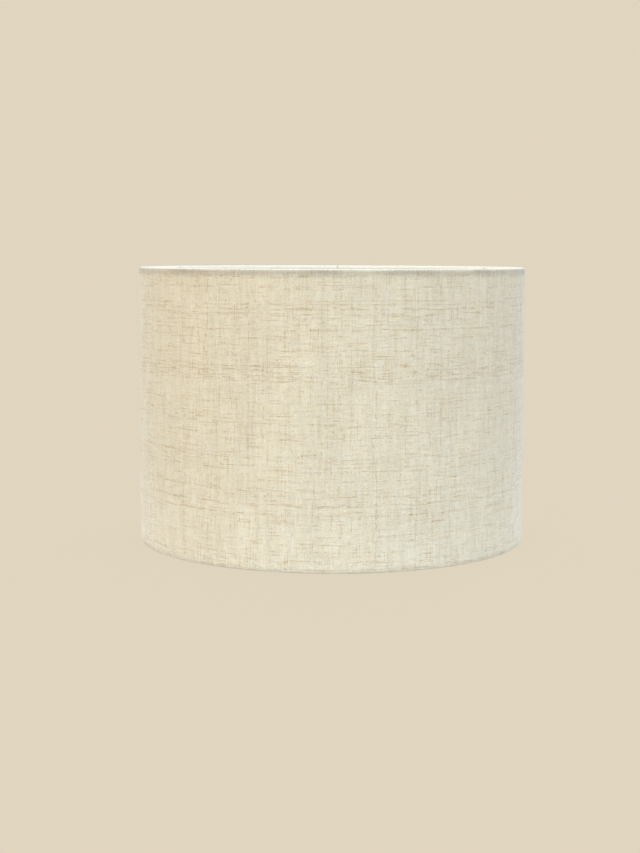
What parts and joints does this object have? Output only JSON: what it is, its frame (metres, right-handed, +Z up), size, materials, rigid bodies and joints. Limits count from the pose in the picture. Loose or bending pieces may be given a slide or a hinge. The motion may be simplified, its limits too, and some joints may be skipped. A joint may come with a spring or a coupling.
{
  "type": "lamp shade",
  "caption": "Hardback drum lamp shade in slubby natural linen with rolled edges, wire rings and a recessed spoked fitter with a loose reducer ring.",
  "frame": {"origin": "centre of the plane of the bottom edge, on the drum's axis", "axes": "+Z up along the drum's axis, -Y to the front, +Y to the lapped seam at the back, +X to the right seen from the front"},
  "size_m": [0.35, 0.3509, 0.248],
  "materials": {
    "linen": "slubby plain-weave natural linen, matt",
    "lining": "white PVC sheet, satin",
    "ring_wire": "white powder coat on steel wire",
    "fitter_paint": "white powder coat on steel, slightly dimpled",
    "tape": "translucent double-sided tape",
    "reducer_plastic": "white moulded plastic, satin"
  },
  "bodies": {
    "shade": {"linen_cover": "linen", "lining_panel": "lining", "top_ring": "ring_wire", "bottom_ring": "ring_wire", "top_ring_tape": "tape", "bottom_ring_tape": "tape", "seam_tape": "tape", "lining_seam_tape": "tape", "spoke_front": "fitter_paint", "spoke_right": "fitter_paint", "spoke_left": "fitter_paint", "spoke_welds": "fitter_paint", "fitter_ring": "fitter_paint"},
    "reducer": {"reducer_ring": "reducer_plastic"}
  },
  "joints": [
    {"name": "reducer_lift", "type": "slide", "parent": "shade", "child": "reducer", "axis": [0, 0, 1], "range_m": [0, 0.06]}
  ]
}
